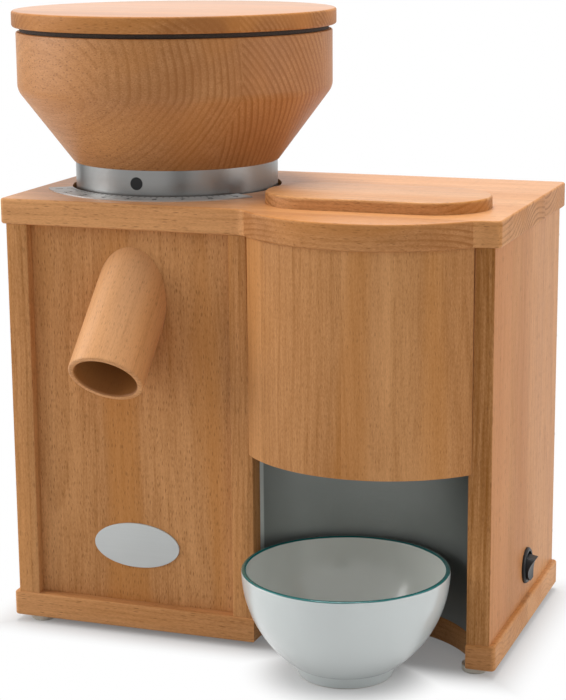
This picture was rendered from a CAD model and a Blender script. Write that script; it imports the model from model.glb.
import math

import bmesh
import bpy
from mathutils import Matrix, Vector


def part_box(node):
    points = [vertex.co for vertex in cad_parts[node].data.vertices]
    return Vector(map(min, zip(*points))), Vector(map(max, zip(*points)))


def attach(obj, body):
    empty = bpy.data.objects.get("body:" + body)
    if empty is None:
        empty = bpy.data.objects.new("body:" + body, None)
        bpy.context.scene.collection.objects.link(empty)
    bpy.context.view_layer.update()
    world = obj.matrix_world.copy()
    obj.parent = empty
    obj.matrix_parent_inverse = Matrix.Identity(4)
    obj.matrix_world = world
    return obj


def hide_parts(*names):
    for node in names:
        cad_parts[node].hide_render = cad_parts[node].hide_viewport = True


# Looks of the grain mill and flaker: beech housing, turned hopper, steel collar, catch bowl.
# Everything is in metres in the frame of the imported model; sizes in the dictionaries are in millimetres.

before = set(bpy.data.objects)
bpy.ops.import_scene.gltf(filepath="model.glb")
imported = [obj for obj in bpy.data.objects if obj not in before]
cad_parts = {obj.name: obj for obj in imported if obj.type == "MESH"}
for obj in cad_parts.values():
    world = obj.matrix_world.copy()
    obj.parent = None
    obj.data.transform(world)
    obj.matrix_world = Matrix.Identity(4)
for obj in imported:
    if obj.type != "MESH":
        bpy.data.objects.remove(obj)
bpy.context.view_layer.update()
mm = 0.001
fullTurn = 2 * math.pi
touch = 1e-4                                           # heights nearer than this are the same
white = (1, 1, 1, 1)
up, rightward, backward = (0, 0, 1), (1, 0, 0), (0, 1, 0)
print("frame loaded:", len(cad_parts), "nodes")


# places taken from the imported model

def low(node):
    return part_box(node)[0]


def high(node):
    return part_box(node)[1]


def middle(node):
    return (low(node) + high(node)) / 2


millAxis = middle("hopper_collar")
bowlAxis = middle("catch_bowl")
flakerMiddle = middle("flaker_lid")
boardTop = high("top_board").z
spoutLean = math.radians(45)
spoutRoot = (middle("spout").x, low("front_panel").y, 0.2154)   # where its axis comes out of the front panel

camera = {"at": (0.43449, -1.15664, 0.45188), "reach": 50,            # metres
          "yaw": 19.932, "pitch": 12.526, "roll": -0.452,             # degrees
          "lens": 127.108, "sensor": 36}


def addCamera():
    yaw, pitch, roll = (math.radians(camera[k]) for k in ("yaw", "pitch", "roll"))
    back = Vector((math.sin(yaw) * math.cos(pitch), -math.cos(yaw) * math.cos(pitch), math.sin(pitch)))
    right = Vector((math.cos(yaw), math.sin(yaw), 0))
    above = back.cross(right)
    axes = (right * math.cos(roll) + above * math.sin(roll),
            above * math.cos(roll) - right * math.sin(roll), back)
    data = bpy.data.cameras.new("camera")
    data.sensor_fit = "HORIZONTAL"
    data.sensor_width = camera["sensor"]
    data.lens = camera["lens"]
    data.clip_end = camera["reach"]
    shot = bpy.data.objects.new("camera", data)
    shot.matrix_world = Matrix.Translation(camera["at"]) @ Matrix(axes).transposed().to_4x4()
    bpy.context.scene.collection.objects.link(shot)
    bpy.context.scene.camera = shot


addCamera()
bpy.context.scene.view_settings.view_transform = "Standard"
print("camera set")


class Wire:  # an output socket that sums can be written with
    def __init__(self, finish, socket):
        self.finish = finish
        self.socket = socket

    def beside(self, place):  # another output of the same node
        return Wire(self.finish, self.socket.node.outputs[place])

    def maths(self, operation, *others):
        return self.finish.maths(operation, self, *others)

    def __add__(self, other):
        return self.maths("ADD", other)

    __radd__ = __add__

    def __mul__(self, other):
        return self.maths("MULTIPLY", other)

    __rmul__ = __mul__

    def __sub__(self, other):
        return self.maths("SUBTRACT", other)

    def __rsub__(self, other):
        return self.finish.maths("SUBTRACT", other, self)

    def __truediv__(self, other):
        return self.maths("DIVIDE", other)

    def __rtruediv__(self, other):
        return self.finish.maths("DIVIDE", other, self)

    def __gt__(self, other):
        return self.maths("GREATER_THAN", other)

    def __lt__(self, other):
        return self.maths("LESS_THAN", other)

    def whole(self):
        return self.maths("FLOOR")

    def rest(self):
        return self.maths("FRACT")

    def root(self):
        return self.maths("SQRT")

    def unsigned(self):
        return self.maths("ABSOLUTE")

    def ease(self, start, end, first=0.0, last=1.0):  # soft step from first to last
        limits = {"Value": self, "From Min": start, "From Max": end, "To Min": first, "To Max": last}
        return self.finish.node("MapRange", {"interpolation_type": "SMOOTHSTEP"}, limits)


class Finish:  # one material while its nodes are wired
    def __init__(self, name, **plain):
        self.material = bpy.data.materials.new(name)
        self.material.use_nodes = True
        self.tree = self.material.node_tree
        self.shader = self.tree.nodes["Principled BSDF"]
        self.set({k.replace("_", " ").title().replace("Ior", "IOR"): v for k, v in plain.items()})

    def feed(self, node, sockets):
        for place, value in sockets.items():
            if isinstance(value, Wire):
                self.tree.links.new(value.socket, node.inputs[place])
            else:
                node.inputs[place].default_value = value

    def set(self, sockets):
        self.feed(self.shader, sockets)
        return self.material

    def node(self, kind, settings=None, sockets=None, out=0):
        made = self.tree.nodes.new("ShaderNode" + kind)
        for key, value in (settings or {}).items():
            setattr(made, key, value)
        self.feed(made, sockets or {})
        return Wire(self, made.outputs[out])

    def maths(self, operation, *values):
        return self.node("Math", {"operation": operation}, dict(enumerate(values)))

    def stretch(self, vector, by):  # repeats in a metre, the same all ways or (x, y, z)
        by = by if isinstance(by, tuple) else (by, by, by)
        return self.node("VectorMath", {"operation": "MULTIPLY"}, {0: vector, 1: by})

    def split(self, vector):
        x = self.node("SeparateXYZ", None, {0: vector})
        return x, x.beside(1), x.beside(2)

    def blend(self, share, first, second):  # colours
        return self.node("Mix", {"data_type": "RGBA"}, {0: share, 6: first, 7: second}, 2)

    def push(self, vector, amount, by):  # shifts a place a little, the same way on all three axes
        shift = self.node("VectorMath", {"operation": "SCALE"}, {0: (by, by, by), "Scale": amount})
        return self.node("VectorMath", {"operation": "ADD"}, {0: vector, 1: shift})

    def cells(self, vector):
        return self.node("TexVoronoi", {"feature": "F1"}, {"Vector": vector, "Scale": 1.0, "Randomness": 1.0})

    def noise(self, vector, detail=2.0, rough=0.5):
        sockets = {"Vector": vector, "Scale": 1.0, "Detail": detail, "Roughness": rough}
        return self.node("TexNoise", None, sockets)

    def luck(self, seed, out="Value"):  # a random number, or colour, for each whole number
        return self.node("TexWhiteNoise", {"noise_dimensions": "1D"}, {"W": seed}, out)

    def here(self, at=(0, 0, 0), turn=(0, 0, 0)):  # object coordinates, centred and turned
        space = self.node("TexCoord", None, None, "Object")
        sockets = {"Vector": space, "Location": at, "Rotation": turn}
        return self.node("Mapping", {"vector_type": "TEXTURE"}, sockets)

    def facing(self):  # the way the surface points
        return self.node("TexCoord", None, None, "Normal")

    def towards(self, facing, way):  # 1 where the surface points that way or right against it, 0 across it
        way = Vector(way).normalized()
        return self.node("VectorMath", {"operation": "DOT_PRODUCT"}, {0: facing, 1: way}, "Value").unsigned()

    def bump(self, height, depth, strength=1.0):
        return self.node("Bump", None, {"Strength": strength, "Distance": depth * mm, "Height": height})


beechColours = {
    "pale": (0.70, 0.36, 0.15, 1),
    "deep": (0.27, 0.1, 0.018, 1),
    "rosy": (0.56, 0.24, 0.105, 1),
    "honey": (0.5, 0.2, 0.04, 1),
    "ray": (0.17, 0.062, 0.016, 1),
}
beechPatterns = {  # repeats in a metre along, across and into the grain; detail and roughness of the noise
    "warm": ((3, 34, 34), 1.0, 0.5),
    "slow": ((4, 26, 26), 1.0, 0.5),
    "wander": ((6, 22, 22), 1.0, 0.5),
    "streak": ((5, 150, 150), 2.0, 0.6),
    "stripe": ((9, 420, 420), 2.0, 0.6),
    "fibre": ((45, 950, 950), 2.0, 0.5),
    "fleck": ((520, 1500, 1500), 1.0, 0.5),
}
speckRepeats = (300, 1500, 1500)
rayRoom = 2.2                                          # a ray's cell against the size of the ray
plainBeech = {
    "stave": 60.0, "shift": 0.0, "seed": 1.0,              # width of the glued boards, their start and luck
    "heart": (25.0, -60.0), "otherHeart": (-20.0, 70.0),   # middle of the tree from that of a board, in turn
    "scatter": (30.0, 30.0), "lean": 0.05, "bend": 3.0,    # how far the heart moves, tilts and wavers
    "ring": 3.4, "rings": 0.12, "endRings": 0.45, "otherRings": 1.0,   # width and strength of the rings
    "rayLength": 3.0, "rayWidth": 0.6, "rays": 0.5, "rayDark": 0.5, "specks": 0.12,
    "dark": 0.5, "tone": 0.35, "ends": 0.2, "edges": 0.0,  # depth of colour, its spread, more on ends
    "streaks": 0.5, "fibres": 0.42, "flecks": 0.4, "rosy": 0.12, "honey": 0.5,
    "rough": 0.46, "gloss": 0.14, "sheen": 0.0, "oiled": 0.0,   # sheen and oil only on the level faces
    "firstBoard": 0.0, "bore": 0.0,                        # darker first boards, radius of a bare inside
}


def grainTurn(along, across):  # turns x along the grain and y across the boards
    along = Vector(along).normalized()
    across = Vector(across).normalized()
    return Matrix((along, across, along.cross(across))).transposed().to_euler()


def beech(name, at, along, across, **changes):
    look = {**plainBeech, **changes}
    wood = Finish(name, ior=1.42, specular_ior_level=look["gloss"], coat_roughness=0.4, coat_ior=1.7)
    place = wood.here(at, grainTurn(along, across))
    x, y, z = wood.split(place)

    def pattern(kind):
        repeats, detail, rough = beechPatterns[kind]
        return wood.noise(wood.stretch(place, repeats), detail, rough)

    count = (y + look["shift"] * mm) / (look["stave"] * mm)
    board = count.whole()                              # which of the glued boards
    toneLuck, leanLuck, deepLuck = wood.split(wood.luck(board + look["seed"], "Color"))
    slow, streak, fibre = pattern("slow"), pattern("streak"), pattern("fibre")
    # growth rings round the heart of the tree, which lies beside the board
    other = (board / 2).rest() > 0.25
    first, second = look["heart"], look["otherHeart"]
    heartAcross = other * ((second[0] - first[0]) * mm) + (first[0] + (look["stave"] / 2)) * mm
    heartDeep = other * ((second[1] - first[1]) * mm) + first[1] * mm
    sideways = (count - board) * (look["stave"] * mm) - heartAcross \
        + (leanLuck - 0.5) * (look["scatter"][0] * mm) + x * ((deepLuck - 0.5) * look["lean"])
    deep = z - heartDeep \
        + (deepLuck - 0.5) * (look["scatter"][1] * mm) + x * ((toneLuck - 0.5) * look["lean"])
    bend = (pattern("wander") - 0.5) * (look["bend"] * 2 * mm) + (streak - 0.5) * (0.5 * mm)
    ring = ((sideways * sideways + deep * deep).root() + bend) / (look["ring"] * mm)
    part = ring.rest()
    late = part.ease(0.4, 0.86) * part.ease(1.0, 0.9) * (wood.luck(ring.whole()) * 0.6 + 0.4)
    if look["otherRings"] != 1:
        late = late * (other * (look["otherRings"] - 1) + 1)
    # short dark rays, large and small
    length, width = (1 / (rayRoom * look[k] * mm) for k in ("rayLength", "rayWidth"))
    cell = wood.cells(wood.stretch(wood.push(place, streak, 1.2 * mm), (length, width, width)))
    kept = wood.split(cell.beside("Color"))[0]
    ray = cell.ease(0.44, 0.12) * kept.ease(1.0 - look["rays"], 1.0)
    speck = wood.cells(wood.stretch(place, speckRepeats)).ease(0.45, 0.1)
    # depth of colour; end grain takes more oil
    facing = wood.facing()
    end = wood.towards(facing, along).ease(0.25, 1.0)
    shade = look["dark"] + (toneLuck - 0.5) * look["tone"] + (slow - 0.5) * 0.5 \
        + (streak - 0.5) * look["streaks"] + late * (end * look["endRings"] + look["rings"]) \
        + (fibre - 0.5) * look["fibres"] + (pattern("fleck") - 0.5) * look["flecks"] + end * look["ends"]
    rosy = (leanLuck * 0.6 + slow * 0.6) * look["rosy"]
    level = wood.split(facing)[2].ease(0.8, 0.98)      # the level faces are oiled and polished by use
    if look["oiled"]:
        shade = shade + level * look["oiled"]
    if look["edges"]:                                  # narrow faces of a board, darker and more striped
        narrow = wood.towards(facing, across).ease(0.6, 0.95)
        shade = shade + narrow * ((pattern("stripe") - 0.5) * 0.9 + look["edges"])
        rosy = rosy * (1 - narrow)
    if look["firstBoard"]:
        shade = shade + (board < -1.5) * look["firstBoard"]
    if look["bore"]:                                   # unfinished inside of a turned tube
        shade = shade + (y * y + z * z).root().ease(look["bore"] * mm, (look["bore"] - 1) * mm) * 1.2
    colour = wood.blend(shade.ease(-0.1, 1.1), beechColours["pale"], beechColours["deep"])
    colour = wood.blend(pattern("warm").ease(0.46, 0.66) * look["honey"], colour, beechColours["honey"])
    colour = wood.blend(rosy, colour, beechColours["rosy"])
    colour = wood.blend(speck * look["specks"], colour, beechColours["ray"])
    colour = wood.blend(ray * look["rayDark"] * (1 - end), colour, beechColours["ray"])
    if look["sheen"]:
        wood.set({"Coat Weight": level * look["sheen"]})
    return wood.set({"Base Color": colour, "Roughness": fibre * 0.16 + (look["rough"] - 0.08),
                     "Normal": wood.bump(fibre * 0.5 - ray - speck * 0.4, 0.05)})


longRays = {"rayLength": 3.0, "rayWidth": 0.48, "rays": 0.65, "rayDark": 0.55}
fineRays = {"rayLength": 1.9, "rayWidth": 0.42, "rayDark": 0.4}
spoutWay = (0, -math.cos(spoutLean), -math.sin(spoutLean))
woods = {
    "front_panel": beech("beechFrontPanel", middle("front_panel"), up, rightward, stave=66.75, seed=3,
                         heart=(30, 90), rayLength=2.0, rayWidth=0.45, rays=0.9, rayDark=0.65,
                         dark=0.43, tone=0.2, streaks=0.35),
    "curved_cover": beech("beechCover", middle("curved_cover"), up, rightward, stave=28, seed=4, rays=0.55,
                          dark=0.49, tone=0.18, streaks=0.32, fibres=0.36, honey=0.35, **fineRays),
    "left_side_panel": beech("beechLeftSide", middle("left_side_panel"), up, backward, stave=58, seed=7),
    "right_side_panel": beech("beechRightSide", middle("right_side_panel"), up, backward, stave=44, seed=11,
                              dark=0.45, edges=0.26, rosy=0.8, honey=0.15),
    "middle_partition": beech("beechPartition", middle("middle_partition"), up, backward, stave=58, seed=15),
    "top_board": beech("beechTopBoard", middle("top_board"), rightward, backward, stave=58, shift=15, seed=21,
                       heart=(10, -45), dark=0.43, tone=0.22, ends=0.1, firstBoard=0.1, rosy=0.35, sheen=0.45,
                       **longRays),
    "base_board": beech("beechBaseBoard", middle("base_board"), rightward, backward, stave=64, seed=33,
                        heart=(12, -45), endRings=0.15, dark=0.43, ends=-0.15, rosy=0.3, **longRays),
    "hopper_bowl": beech("beechHopper", millAxis, (0.837, -0.547, 0), (0.547, 0.837, 0), stave=70, shift=18.5,
                         seed=41, heart=(-118, 6), otherHeart=(-127, 68), scatter=(0, 0), bend=2.0,
                         ring=4.0, rings=0.2, endRings=0.42, otherRings=0.6, rayLength=1.3, rays=0.9,
                         rayDark=0.6, specks=0.3, dark=0.53, tone=0.1, streaks=0.25, fibres=0.35, flecks=0.5,
                         rosy=0.35, honey=0.25, gloss=0.3),
    "hopper_lid": beech("beechLid", middle("hopper_lid"), (0.985, -0.17, 0), (0.17, 0.985, 0), stave=60,
                        seed=52, heart=(-70, -60), otherHeart=(-110, -70), ring=3.0, endRings=0.9,
                        dark=0.58, ends=0.3, rosy=0.3, sheen=0.95, oiled=0.25, **longRays),
    "flaker_lid": beech("beechFlakerLid", flakerMiddle, rightward, backward, stave=80, seed=61,
                        heart=(15, -60), sheen=0.6, oiled=0.1, **longRays),
    "spout": beech("beechSpout", spoutRoot, spoutWay, rightward, stave=80, shift=40, seed=73, heart=(8, -60),
                   endRings=0.15, rays=0.7, dark=0.0, bore=20.5, streaks=0.6, fibres=0.7, rosy=0.22,
                   honey=0.2, gloss=0.42, **fineRays),
}
print("beech mixed")


def tint(colour, by):
    return [c * by for c in colour] + [1]


brushLines = {"z": (8, 8, 5200), "x": (8, 5200, 5200)}  # rings round z, or lines along x


def brushed(name, colour, along="z", rough=0.32, depth=0.012, metal=1.0, edge=None):
    steel = Finish(name, metallic=metal)
    place = steel.here()
    line = steel.noise(steel.stretch(place, brushLines[along]), 2.0, 0.6)
    cloud = steel.noise(steel.stretch(place, 24), 2.0)
    tinted = steel.blend(cloud * 0.35 + line * 0.35, tint(colour, 1.1), tint(colour, 0.78))
    if edge is not None:                               # bright cut edge in front
        cut = steel.split(place)[1].ease(edge + 3 * mm, edge + 2 * mm)
        tinted = steel.blend(cut, tinted, (0.6, 0.62, 0.6, 1))
    return steel.set({"Base Color": tinted, "Roughness": line * 0.14 + cloud * 0.1 + (rough - 0.12),
                      "Normal": steel.bump(line, depth)})


def moulded(name, colour, rough=0.42, grain=1400, depth=0.02, shine=0.5):  # plastic and rubber
    plastic = Finish(name, specular_ior_level=shine)
    place = plastic.here()
    fine = plastic.noise(plastic.stretch(place, grain), 2.0)
    cloud = plastic.noise(plastic.stretch(place, 35), 2.0)
    tinted = plastic.blend(cloud * 0.7 + fine * 0.3, tint(colour, 1.12), tint(colour, 0.88))
    return plastic.set({"Base Color": tinted, "Roughness": fine * 0.12 + cloud * 0.08 + (rough - 0.1),
                        "Normal": plastic.bump(fine, depth)})


def castMetal(name, colour, rough=0.5):
    cast = Finish(name, metallic=0.9)
    place = cast.here()
    skin = cast.noise(cast.stretch(place, 700), 3.0, 0.6)
    stain = cast.noise(cast.stretch(place, 40), 3.0)
    tinted = cast.blend(stain * 0.6 + skin * 0.3, tint(colour, 1.1), tint(colour, 0.72))
    return cast.set({"Base Color": tinted, "Roughness": skin * 0.25 + (rough - 0.12),
                     "Normal": cast.bump(skin, 0.06)})


def grit(name, colour):  # bonded grinding grit with dark and pale grains
    stone = Finish(name)
    place = stone.here()
    grain = stone.cells(stone.stretch(place, 620))
    pick = stone.split(grain.beside("Color"))[0]
    fine = stone.noise(stone.stretch(place, 1800), 2.0)
    tinted = stone.blend(pick.ease(0.1, 0.95), tint(colour, 1.25), tint(colour, 0.5))
    tinted = stone.blend(fine * 0.4, tinted, tint(colour, 0.8))
    return stone.set({"Base Color": tinted, "Roughness": fine * 0.1 + 0.82,
                      "Normal": stone.bump(grain * -1, 0.25)})


def feltFinish(name, colour):
    felt = Finish(name)
    fluff = felt.noise(felt.stretch(felt.here(), (900, 900, 1600)), 3.0, 0.65)
    tinted = felt.blend(fluff.ease(0.3, 0.75), tint(colour, 0.7), tint(colour, 1.5))
    return felt.set({"Base Color": tinted, "Roughness": fluff * 0.1 + 0.86,
                     "Normal": felt.bump(fluff, 0.2)})


def plywoodFinish(name, layer=1.25):
    ply = Finish(name)
    place = ply.here(middle("back_panel"), grainTurn(up, rightward))
    fibre = ply.noise(ply.stretch(place, (30, 900, 900)), 3.0, 0.6)
    figure = ply.noise(ply.stretch(place, (6, 90, 90)), 2.0)
    edge = ply.towards(ply.facing(), backward).ease(0.9, 0.6)
    glued = (ply.split(place)[2] / (layer * mm)).rest().ease(0.42, 0.58) * edge   # shows on the edges only
    tinted = ply.blend(fibre * 0.5 + figure * 0.5, (0.62, 0.44, 0.25, 1), (0.44, 0.28, 0.14, 1))
    tinted = ply.blend(glued * 0.3, tinted, (0.34, 0.2, 0.1, 1))
    return ply.set({"Base Color": tinted, "Roughness": fibre * 0.15 + 0.55,
                    "Normal": ply.bump(fibre, 0.08)})


bowlGlaze = {
    "outside": (0.60, 0.64, 0.635, 1), "outsideDeep": (0.56, 0.60, 0.595, 1), "inside": (0.65, 0.67, 0.63, 1),
    "line": (0.0, 0.1, 0.1, 1), "linePale": (0.0, 0.14, 0.135, 1), "foot": (0.55, 0.52, 0.46, 1),
    "lineWidth": 2.5, "lineSoft": 0.4, "bareFoot": 0.9, "footSoft": 0.5,
}


def glaze(name, at, rimTop):  # glazed porcelain, a little warmer inside, a green line on the rim, bare foot
    china = Finish(name, coat_weight=0.4, coat_roughness=0.16, ior=1.5)
    place = china.here(at)
    x, y, z = china.split(place)
    across, deep, level = china.split(china.facing())
    outward = (x * across + y * deep) / (x * x + y * y).root()
    inside = (level - outward).ease(-0.3, 0.3)
    wave = china.noise(china.stretch(place, 28), 2.0)
    clay = china.blend(wave, bowlGlaze["outside"], bowlGlaze["outsideDeep"])
    clay = china.blend(inside, clay, bowlGlaze["inside"])
    lineFoot = rimTop - bowlGlaze["lineWidth"] * mm
    line = (z + (wave - 0.5) * (0.8 * mm)).ease(lineFoot, lineFoot + bowlGlaze["lineSoft"] * mm)
    tinted = china.blend(line, clay, china.blend(wave, bowlGlaze["line"], bowlGlaze["linePale"]))
    foot = z.ease(bowlGlaze["bareFoot"] * mm, (bowlGlaze["bareFoot"] - bowlGlaze["footSoft"]) * mm)
    tinted = china.blend(foot, tinted, bowlGlaze["foot"])
    return china.set({"Base Color": tinted, "Roughness": foot * 0.4 + 0.2,
                      "Normal": china.bump(wave, 0.12, 0.5)})


finishes = {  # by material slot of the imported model
    "plywood": plywoodFinish("plywood"),
    "brushed_steel": brushed("brushedSteel", (0.25, 0.25, 0.245)),
    "bay_steel": brushed("bayLining", (0.265, 0.28, 0.268), "x", 0.5, 0.01, edge=low("bay_lining").y),
    "bright_steel": brushed("brightSteel", (0.62, 0.62, 0.61), rough=0.26),
    "frame_steel": castMetal("zincPlate", (0.5, 0.51, 0.52), 0.42),
    "cast_aluminium": castMetal("castAluminium", (0.56, 0.56, 0.57)),
    "rotor_iron": castMetal("laminatedIron", (0.22, 0.21, 0.2)),
    "bronze": castMetal("sinteredBronze", (0.58, 0.4, 0.18), 0.4),
    "gear_plastic": moulded("nylonGear", (0.76, 0.74, 0.68), 0.45),
    "nose_plastic": moulded("filledPlastic", (0.09, 0.09, 0.09), 0.55, 900, 0.05),
    "millstone": grit("millstone", (0.52, 0.48, 0.42)),
    "dark_felt": feltFinish("sealFelt", (0.05, 0.036, 0.028)),
    "black_rubber": moulded("inletRubber", (0.022, 0.022, 0.022), 0.6, 900, 0.05),
    "black_plastic": moulded("blackPlastic", (0.012, 0.013, 0.014), 0.42, 1200, 0.015, shine=0.25),
    "cream_plastic": moulded("glidePlastic", (0.6, 0.56, 0.48), 0.4),
    "porcelain": glaze("porcelain", (bowlAxis.x, bowlAxis.y, 0), high("catch_bowl").z),
}
scaleSteel = brushed("scaleSteel", (0.42, 0.425, 0.42), "x", 0.42, 0.006, 0.6)
ownFinishes = {**woods, "scale_plate": scaleSteel}     # by node

for name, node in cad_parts.items():
    for slot in node.material_slots:
        slot.material = ownFinishes.get(name) or finishes[slot.material.name.split(".")[0]]
print("finishes on", len(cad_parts), "nodes")


# what the pieces below are modelled with

def rounded(bm, geom, softness, segments, affect="EDGES"):
    bmesh.ops.bevel(bm, geom=geom, offset=softness * mm, affect=affect, segments=segments, profile=0.5,
                    material=-1)


def outline(bm, points):  # closed line of (radius, height, softening of the corner)
    corners = [bm.verts.new((p[0] * mm, 0, p[1] * mm)) for p in points]
    for first, second in zip(corners, corners[1:] + corners[:1]):
        bm.edges.new((first, second))
    for corner, point in zip(corners, points):
        if len(point) > 2:
            rounded(bm, [corner], point[2], 5, "VERTICES")


def spinRound(bm, steps):
    bmesh.ops.spin(bm, geom=bm.verts[:] + bm.edges[:], cent=(0, 0, 0), axis=up, angle=fullTurn,
                   steps=steps, use_merge=True)
    tidy(bm)


def turned(points, steps=128):  # a closed profile spun round z
    bm = bmesh.new()
    outline(bm, points)
    spinRound(bm, steps)
    return bm


def tidy(bm):
    bmesh.ops.remove_doubles(bm, verts=bm.verts[:], dist=2e-6)
    bmesh.ops.recalc_face_normals(bm, faces=bm.faces[:])


def move(bm, by):
    bmesh.ops.translate(bm, verts=bm.verts[:], vec=by)


def turn(bm, angle, axis):
    bmesh.ops.rotate(bm, verts=bm.verts[:], cent=(0, 0, 0), matrix=Matrix.Rotation(angle, 3, axis))


def raiseFace(bm, face, height):  # pulls a level face up into a board
    grown = bmesh.ops.extrude_face_region(bm, geom=[face])["geom"]
    bmesh.ops.translate(bm, verts=[g for g in grown if isinstance(g, bmesh.types.BMVert)], vec=(0, 0, height))
    bmesh.ops.recalc_face_normals(bm, faces=bm.faces[:])


def join(bm, other):
    mesh = bpy.data.meshes.new("joined")
    other.to_mesh(mesh)
    other.free()
    bm.from_mesh(mesh)
    bpy.data.meshes.remove(mesh)


def makeObject(name, bm, material):
    mesh = bpy.data.meshes.new(name)
    bm.to_mesh(mesh)
    bm.free()
    mesh.materials.clear()
    mesh.materials.append(material)
    made = bpy.data.objects.new(name, mesh)
    bpy.context.scene.collection.objects.link(made)
    return made


def piece(bm, name, body, material, slotName, *nodes, sharp=35):
    made = makeObject(name, bm, material)
    mesh = made.data
    if "custom_normal" in mesh.attributes:
        mesh.attributes.remove(mesh.attributes["custom_normal"])
    mesh.shade_smooth()
    mesh.set_sharp_from_angle(angle=math.radians(sharp))
    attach(made, body)
    if nodes:
        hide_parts(*nodes)
    print(name, len(mesh.polygons), "faces")


hopper = {"throat": 20.0, "foot": 66.3, "radius": 101.0, "wall": 9.0,
          "coneHeight": 46.1, "throatHeight": 7.0, "innerCone": 36.5,
          "footEdge": 0.5, "shoulder": 3.3, "rimEdge": 1.0, "innerShoulder": 3.6, "throatEdge": 1.5}


def makeHopperBowl():
    base, rim = low("hopper_bowl").z / mm, high("hopper_bowl").z / mm
    inner = hopper["radius"] - hopper["wall"]
    throatTop = base + hopper["throatHeight"]
    bm = turned([(hopper["throat"], base),
                 (hopper["foot"], base, hopper["footEdge"]),
                 (hopper["radius"], base + hopper["coneHeight"], hopper["shoulder"]),
                 (hopper["radius"], rim, hopper["rimEdge"]),
                 (inner, rim, hopper["rimEdge"]),
                 (inner, throatTop + hopper["innerCone"], hopper["innerShoulder"]),
                 (hopper["throat"], throatTop, hopper["throatEdge"])])
    move(bm, (millAxis.x, millAxis.y, 0))
    piece(bm, "hopperBowl", "hopper", woods["hopper_bowl"], "beech_turned", "hopper_bowl", sharp=50)


lid = {"radius": 103.5, "edge": 1.7, "plug": 91.0, "plugEdge": 0.8}


def makeHopperLid():
    bottom, top = low("hopper_lid").z / mm, high("hopper_lid").z / mm
    board = high("lid_seal").z / mm
    bm = turned([(0, bottom), (lid["plug"], bottom, lid["plugEdge"]), (lid["plug"], board),
                 (lid["radius"], board, lid["edge"]), (lid["radius"], top, lid["edge"]), (0, top)])
    move(bm, (millAxis.x, millAxis.y, 0))
    piece(bm, "hopperLid", "hopper_cover", woods["hopper_lid"], "beech_turned", "hopper_lid", sharp=50)


seal = {"outer": 98.6, "inner": 91.1, "edge": 0.7}


def makeLidSeal():
    bottom, top = low("lid_seal").z / mm, high("lid_seal").z / mm
    bm = turned([(seal["inner"], bottom), (seal["outer"], bottom, seal["edge"]),
                 (seal["outer"], top, seal["edge"]), (seal["inner"], top)], 160)
    move(bm, (millAxis.x, millAxis.y, 0))
    piece(bm, "lidSeal", "hopper_cover", finishes["dark_felt"], "dark_felt", "lid_seal")


makeHopperBowl()
makeHopperLid()
makeLidSeal()
print("hopper made")

scale = {"reach": 50.0, "tickStep": 3.125,              # degrees each way, and between two ticks
         "tickRing": 69.6, "tickWidth": 0.55, "tickLength": 2.6, "longEvery": 4, "longTick": 1.6,
         "numbers": 9, "numberRing": 79.1, "numberSize": 7.28, "ink": 0.08}


def makeScaleTicks(lift):
    bm = bmesh.new()
    for i in range(round(2 * scale["reach"] / scale["tickStep"]) + 1):
        angle = math.radians(-scale["reach"] + i * scale["tickStep"])
        length = scale["tickLength"] * (scale["longTick"] if i % scale["longEvery"] == 0 else 1.0)
        made = bmesh.ops.create_cube(bm, size=1.0)["verts"]
        bmesh.ops.scale(bm, verts=made, vec=(scale["tickWidth"] * mm, length * mm, scale["ink"] * mm))
        bmesh.ops.translate(bm, verts=made, vec=(0, -(scale["tickRing"] + length / 2) * mm, 0))
        bmesh.ops.rotate(bm, verts=made, cent=(0, 0, 0), matrix=Matrix.Rotation(angle, 3, "Z"))
    move(bm, (millAxis.x, millAxis.y, lift))
    piece(bm, "scaleTicks", "housing", finishes["black_plastic"], "black_plastic")


def makeScaleNumber(number, angle, lift):
    words = bpy.data.curves.new("number", "FONT")
    words.body = str(number)
    words.size = scale["numberSize"] * mm
    words.align_x = "CENTER"
    words.align_y = "CENTER"
    words.extrude = scale["ink"] * mm / 2
    drawn = bpy.data.objects.new("number", words)
    bpy.context.scene.collection.objects.link(drawn)
    mesh = bpy.data.meshes.new_from_object(drawn.evaluated_get(bpy.context.evaluated_depsgraph_get()))
    bpy.data.objects.remove(drawn)
    bm = bmesh.new()
    bm.from_mesh(mesh)
    tidy(bm)
    move(bm, (0, -scale["numberRing"] * mm, 0))
    turn(bm, angle, "Z")
    move(bm, (millAxis.x, millAxis.y, lift))
    piece(bm, "scaleNumber%d" % number, "housing", finishes["black_plastic"], "black_plastic")


def makeScaleMarks():
    lift = high("scale_plate").z + scale["ink"] * mm / 2
    makeScaleTicks(lift)
    for i in range(scale["numbers"]):
        angle = math.radians(-scale["reach"] + 2 * scale["reach"] * i / (scale["numbers"] - 1))
        makeScaleNumber(i + 1, angle, lift)


makeScaleMarks()
print("scale made")

spout = {"outer": 23.5, "inner": 19.4, "reach": 57.8, "root": -90, "mouthOuter": 1.3, "mouthInner": 1.6}


def makeSpout():
    bm = turned([(spout["inner"], spout["root"]), (spout["outer"], spout["root"]),
                 (spout["outer"], spout["reach"], spout["mouthOuter"]),
                 (spout["inner"], spout["reach"], spout["mouthInner"])], 96)
    turn(bm, math.radians(90) + spoutLean, "X")
    move(bm, spoutRoot)
    behind = (0, high("front_panel").y, 0)             # cut off at the back of the front panel
    bmesh.ops.bisect_plane(bm, geom=bm.verts[:] + bm.edges[:] + bm.faces[:], plane_co=behind,
                           plane_no=backward, clear_outer=True)
    bmesh.ops.bridge_loops(bm, edges=[e for e in bm.edges if e.is_boundary])
    tidy(bm)
    piece(bm, "spout", "housing", woods["spout"], "beech_turned", "spout", sharp=50)


flakerLid = {"length": 139.6, "width": 69.0, "edge": 1.7,
             "plugLength": 98.6, "plugWidth": 39.6, "plugEdge": 0.01, "plugShift": 1.5}


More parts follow.
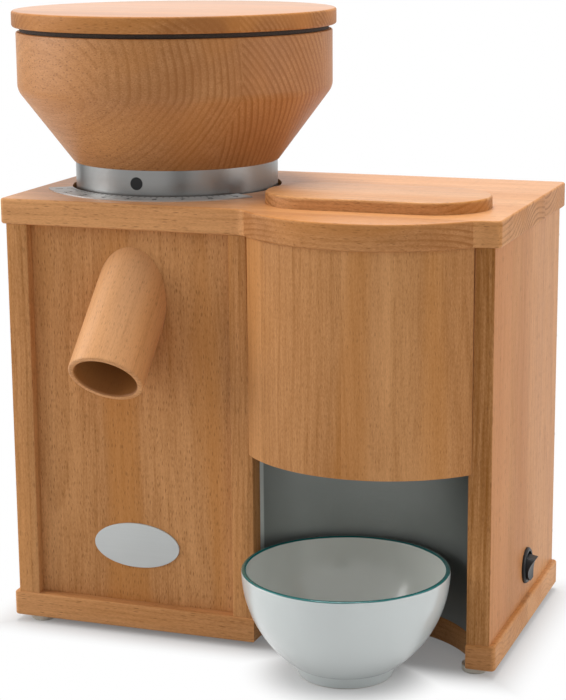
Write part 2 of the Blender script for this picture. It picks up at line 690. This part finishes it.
def stadium(length, width, bottom, top, softness, steps=96):  # a board with half-round ends
    bm = bmesh.new()
    made = bmesh.ops.create_circle(bm, cap_ends=True, radius=width / 2 * mm, segments=steps)["verts"]
    turn(bm, math.pi / steps, "Z")
    for v in made:
        v.co.x += math.copysign((length - width) / 2 * mm, v.co.x)
        v.co.z = bottom
    raiseFace(bm, made[0].link_faces[0], top - bottom)
    rounded(bm, [e for e in bm.edges if e.is_manifold and e.calc_face_angle() > 1 and
                 all(abs(v.co.z - top) < 1e-6 for v in e.verts)], softness, 4)
    return bm


def makeFlakerLid():
    bm = stadium(flakerLid["length"], flakerLid["width"], boardTop, high("flaker_lid").z, flakerLid["edge"])
    plug = stadium(flakerLid["plugLength"], flakerLid["plugWidth"], low("flaker_lid").z, boardTop,
                   flakerLid["plugEdge"])
    move(plug, (flakerLid["plugShift"] * mm, 0, 0))
    join(bm, plug)
    move(bm, (flakerMiddle.x, flakerMiddle.y, 0))
    bmesh.ops.recalc_face_normals(bm, faces=bm.faces[:])
    piece(bm, "flakerLid", "flaker_cover", woods["flaker_lid"], "beech_turned", "flaker_lid", sharp=50)


makeSpout()
makeFlakerLid()
print("spout and flaker lid made")

housing = {"panelEdge": 0.9, "boardEdge": 1.1, "coverEdge": 0.8, "upright": 90.0,
           "flat": 0.4, "corner": 34.4}                # degrees: joined as one face, counted as a corner


def uprightEdge(edge):
    first, second = (v.co for v in edge.verts)
    return abs(first.z - second.z) > housing["upright"] * mm


def coverBottom(edge):
    return all(v.co.z < low("curved_cover").z + touch for v in edge.verts)


def outlineEdge(node):  # level edges round the outside of a board
    first, last = low(node), high(node)
    front = low("left_side_panel").y + 0.2 * mm

    def wanted(edge):
        a, b = (v.co for v in edge.verts)
        spot = (a + b) / 2
        if abs(a.z - b.z) > touch or min(abs(spot.z - first.z), abs(spot.z - last.z)) > touch:
            return False
        return spot.y < front or spot.y > last.y - touch or min(spot.x - first.x, last.x - spot.x) < touch
    return wanted


def easedPiece(node, name, slotName, softness, wanted, segments=2):  # a node with its wanted edges eased
    bm = bmesh.new()
    bm.from_mesh(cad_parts[node].data)
    bmesh.ops.remove_doubles(bm, verts=bm.verts[:], dist=2e-6)
    flat = math.radians(housing["flat"])
    bmesh.ops.dissolve_limit(bm, angle_limit=flat, verts=bm.verts[:], edges=bm.edges[:])
    corner = math.radians(housing["corner"])
    edges = [e for e in bm.edges if e.is_manifold and abs(e.calc_face_angle_signed()) > corner and wanted(e)]
    rounded(bm, edges, softness, segments)
    piece(bm, name, "housing", woods[node], slotName, node)


for node, name in (("left_side_panel", "leftSidePanel"), ("right_side_panel", "rightSidePanel"),
                   ("middle_partition", "middlePartition")):
    easedPiece(node, name, "beech_panels", housing["panelEdge"], uprightEdge)
for node, name in (("top_board", "topBoard"), ("base_board", "baseBoard")):
    easedPiece(node, name, "beech_boards", housing["boardEdge"], outlineEdge(node), 3)
easedPiece("curved_cover", "curvedCover", "beech_panels", housing["coverEdge"], coverBottom)
print("housing eased")

catchBowl = {"rim": 62.5, "height": 66.2, "wall": 3.0, "lip": 1.3,
             "foot": 31.0, "footHeight": 7.0, "footWidth": 6.0, "footTaper": 2.6, "footSpread": 0.8,
             "inWall": 1.0, "footInner": 0.8, "footOuter": 1.0}


def makeCatchBowl():
    rim, height, foot, lift = (catchBowl[k] * mm for k in ("rim", "height", "foot", "footHeight"))
    arc = ((height - lift) ** 2 + (rim - foot) ** 2) / (2 * (rim - foot))   # radius of the bowl's side
    bm = bmesh.new()
    start = bm.verts.new((rim, 0, height))
    bmesh.ops.spin(bm, geom=[start], cent=(rim - arc, 0, height), axis=(0, 1, 0),
                   angle=math.asin((height - lift) / arc), steps=28)
    lowest = min(bm.verts, key=lambda v: v.co.z)
    bm.edges.new((lowest, bm.verts.new((0, 0, lift))))
    spinRound(bm, 128)
    if sum(f.normal.xy.dot(f.calc_center_median().xy) for f in bm.faces) < 0:
        bmesh.ops.reverse_faces(bm, faces=bm.faces[:])
    bmesh.ops.solidify(bm, geom=bm.faces[:], thickness=catchBowl["wall"] * mm)
    tidy(bm)
    rounded(bm, [e for e in bm.edges if e.is_manifold and e.calc_face_angle() > 1 and
                 all(v.co.z > height - 2 * mm for v in e.verts)], catchBowl["lip"], 5)
    inner, top = catchBowl["foot"] - catchBowl["footWidth"], catchBowl["footHeight"] + catchBowl["inWall"]
    join(bm, turned([(inner, top), (inner, 0, catchBowl["footInner"]),
                     (catchBowl["foot"] - catchBowl["footTaper"], 0, catchBowl["footOuter"]),
                     (catchBowl["foot"] + catchBowl["footSpread"], top)]))
    move(bm, (bowlAxis.x, bowlAxis.y, 0))
    piece(bm, "catchBowl", "bowl", finishes["porcelain"], "porcelain", "catch_bowl", sharp=50)


plate = {"length": 58.0, "height": 29.0, "thick": 1.0, "edge": 0.35, "steel": (0.52, 0.54, 0.535)}


def makeOvalPlate():
    bm = bmesh.new()
    made = bmesh.ops.create_circle(bm, cap_ends=True, radius=0.5, segments=128)["verts"]
    bmesh.ops.scale(bm, verts=made, vec=(plate["length"] * mm, plate["height"] * mm, 1))
    raiseFace(bm, made[0].link_faces[0], plate["thick"] * mm)
    front = max(bm.faces, key=lambda f: f.calc_center_median().z)
    rounded(bm, front.edges[:], plate["edge"], 3)
    turn(bm, math.radians(90), "X")
    here = middle("name_plate")
    move(bm, (here.x, high("name_plate").y, here.z))
    steel = brushed("plateSteel", plate["steel"], "x", 0.45, 0.006, 0.25)
    piece(bm, "ovalPlate", "housing", steel, "brushed_steel", "name_plate")


makeCatchBowl()
makeOvalPlate()
print("pieces made")

# sizes from here on are in metres
studio = {"light": 0.54, "floor": 0.6, "size": 6.0,
          "fadeFrom": -0.012, "fadeTo": 0.026, "leastWhite": 0.15, "bowlFoot": 0.04}   # white beside the part
cards = {"height": 0.7, "away": 1.6, "lift": 0.1,      # dark, and only seen as soft bands in the collar
         "places": {"nearFlag": (24, 0.5), "sideFlag": (76, 0.13), "leftFlag": (-112, 0.4)}}  # degrees, width
lamps = {
    "leftSoftbox": {"at": (-2.0, -0.55, 0.9), "size": (1.2, 1.4), "power": 26},
    "rightSoftbox": {"at": (2.0, 0.17, 0.8), "size": (1.0, 1.4), "power": 11},
    "topSoftbox": {"at": (-0.1, 0.35, 2.2), "size": (1.1, 1.1), "power": 46},
}
lampTarget = (0, 0, 0.2)


def floorFinish():
    paint = Finish("paleFloor", roughness=0.9)
    spot = paint.here()
    x, y = paint.split(spot)[:2]
    first, last = low("base_board"), high("base_board")
    aside = (x - (first.x + last.x) / 2).unsigned() - (last.x - first.x) / 2
    before = (y - (first.y + last.y) / 2).unsigned() - (last.y - first.y) / 2
    fromBowl = ((x - bowlAxis.x) * (x - bowlAxis.x) + (y - bowlAxis.y) * (y - bowlAxis.y)).root()
    away = aside.maths("MAXIMUM", before).maths("MINIMUM", fromBowl - studio["bowlFoot"])
    cloud = paint.noise(paint.stretch(spot, 3), 2.0)
    grey = (studio["floor"],) * 3
    paint.set({"Base Color": paint.blend(cloud, tint(grey, 1.0), tint(grey, 1.02))})
    path = paint.node("LightPath", None, None, "Is Camera Ray")
    seen = path.maths("MAXIMUM", path.beside("Is Glossy Ray"))
    seen = seen.maths("MAXIMUM", path.beside("Is Transmission Ray"))
    share = seen * away.ease(studio["fadeFrom"], studio["fadeTo"], studio["leastWhite"], 1.0)
    glow = paint.node("Emission", None, {"Color": white, "Strength": 1.0})
    mixed = paint.node("MixShader", None, {0: share, 2: glow})
    paint.tree.links.new(paint.shader.outputs[0], mixed.socket.node.inputs[1])
    paint.tree.links.new(mixed.socket, paint.tree.nodes["Material Output"].inputs["Surface"])
    return paint.material


def addFloor():
    bm = bmesh.new()
    bmesh.ops.create_grid(bm, x_segments=2, y_segments=2, size=studio["size"])
    makeObject("floor", bm, floorFinish())


def addWorld():  # soft light from all round, and white where it is seen, in gloss too
    world = bpy.data.worlds.new("studio")
    bpy.context.scene.world = world
    world.use_nodes = True
    nodes, links = world.node_tree.nodes, world.node_tree.links
    soft, bright = nodes["Background"], nodes.new("ShaderNodeBackground")
    for glow, strength in ((soft, studio["light"]), (bright, 1.0)):
        glow.inputs["Color"].default_value = white
        glow.inputs["Strength"].default_value = strength
    rays = nodes.new("ShaderNodeLightPath")
    seen = rays.outputs["Is Camera Ray"]
    for name in ("Is Glossy Ray", "Is Transmission Ray"):
        either = nodes.new("ShaderNodeMath")
        either.operation = "MAXIMUM"
        links.new(seen, either.inputs[0])
        links.new(rays.outputs[name], either.inputs[1])
        seen = either.outputs[0]
    mix = nodes.new("ShaderNodeMixShader")
    links.new(seen, mix.inputs[0])
    links.new(soft.outputs[0], mix.inputs[1])
    links.new(bright.outputs[0], mix.inputs[2])
    links.new(mix.outputs[0], nodes["World Output"].inputs["Surface"])


def addCard(name, around, width):
    bm = bmesh.new()
    bmesh.ops.create_grid(bm, x_segments=1, y_segments=1, size=0.5)
    bmesh.ops.scale(bm, verts=bm.verts[:], vec=(width, cards["height"], 1))
    turn(bm, math.radians(90), "X")
    move(bm, (0, -cards["away"], cards["lift"]))
    turn(bm, math.radians(around), "Z")
    card = makeObject(name, bm, finishes["black_plastic"])
    card.visible_camera = card.visible_diffuse = card.visible_shadow = False


def addLamp(name, at, size, power):
    data = bpy.data.lights.new(name, "AREA")
    data.shape = "RECTANGLE"
    data.size, data.size_y = size
    data.energy = power
    lamp = bpy.data.objects.new(name, data)
    aim = (Vector(at) - Vector(lampTarget)).to_track_quat("Z", "Y")
    lamp.matrix_world = Matrix.Translation(at) @ aim.to_matrix().to_4x4()
    bpy.context.scene.collection.objects.link(lamp)


addFloor()
addWorld()
for name, (around, width) in cards["places"].items():
    addCard(name, around, width)
for name, lamp in lamps.items():
    addLamp(name, **lamp)
print("studio set")
